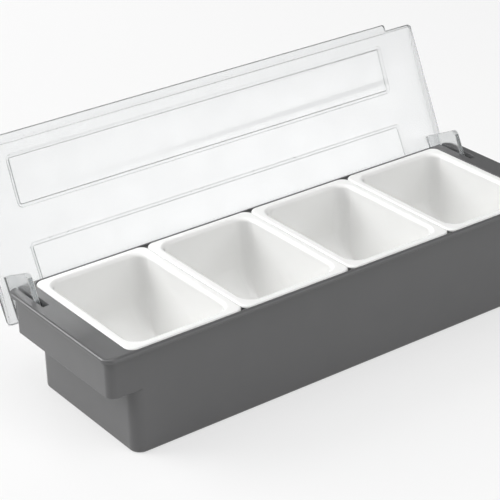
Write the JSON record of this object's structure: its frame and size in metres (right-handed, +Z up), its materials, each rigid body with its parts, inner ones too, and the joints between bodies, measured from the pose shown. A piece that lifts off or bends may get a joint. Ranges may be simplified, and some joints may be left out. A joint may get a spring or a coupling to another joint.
{
  "type": "condiment caddy",
  "caption": "Dark plastic bar caddy with white condiment inserts and a clear hinged lid over ice space.",
  "frame": {"origin": "centre of the tray's footprint, on the surface that it stands on", "axes": "+X along the tray to the right, +Y from the front to the hinge side, +Z up"},
  "size_m": [0.4652, 0.2095, 0.1932],
  "materials": {
    "tray_plastic": "satin",
    "insert_plastic": "gloss",
    "clear_plastic": "gloss"
  },
  "bodies": {
    "base": {"tray": "tray_plastic"},
    "cup_1": {"insert_1": "insert_plastic"},
    "cup_2": {"insert_2": "insert_plastic"},
    "cup_3": {"insert_3": "insert_plastic"},
    "cup_4": {"insert_4": "insert_plastic"},
    "cover": {"lid": "clear_plastic"}
  },
  "joints": [
    {"name": "lid_hinge", "type": "hinge", "parent": "base", "child": "cover", "pos_m": [0, 0.0612, 0.0774], "axis": [-1, 0, 0], "range_deg": [-115.6, 0]},
    {"name": "lift_1", "type": "slide", "parent": "base", "child": "cup_1", "axis": [0, 0, 1], "range_m": [0, 0.1]},
    {"name": "lift_2", "type": "slide", "parent": "base", "child": "cup_2", "axis": [0, 0, 1], "range_m": [0, 0.1]},
    {"name": "lift_3", "type": "slide", "parent": "base", "child": "cup_3", "axis": [0, 0, 1], "range_m": [0, 0.1]},
    {"name": "lift_4", "type": "slide", "parent": "base", "child": "cup_4", "axis": [0, 0, 1], "range_m": [0, 0.1]}
  ]
}
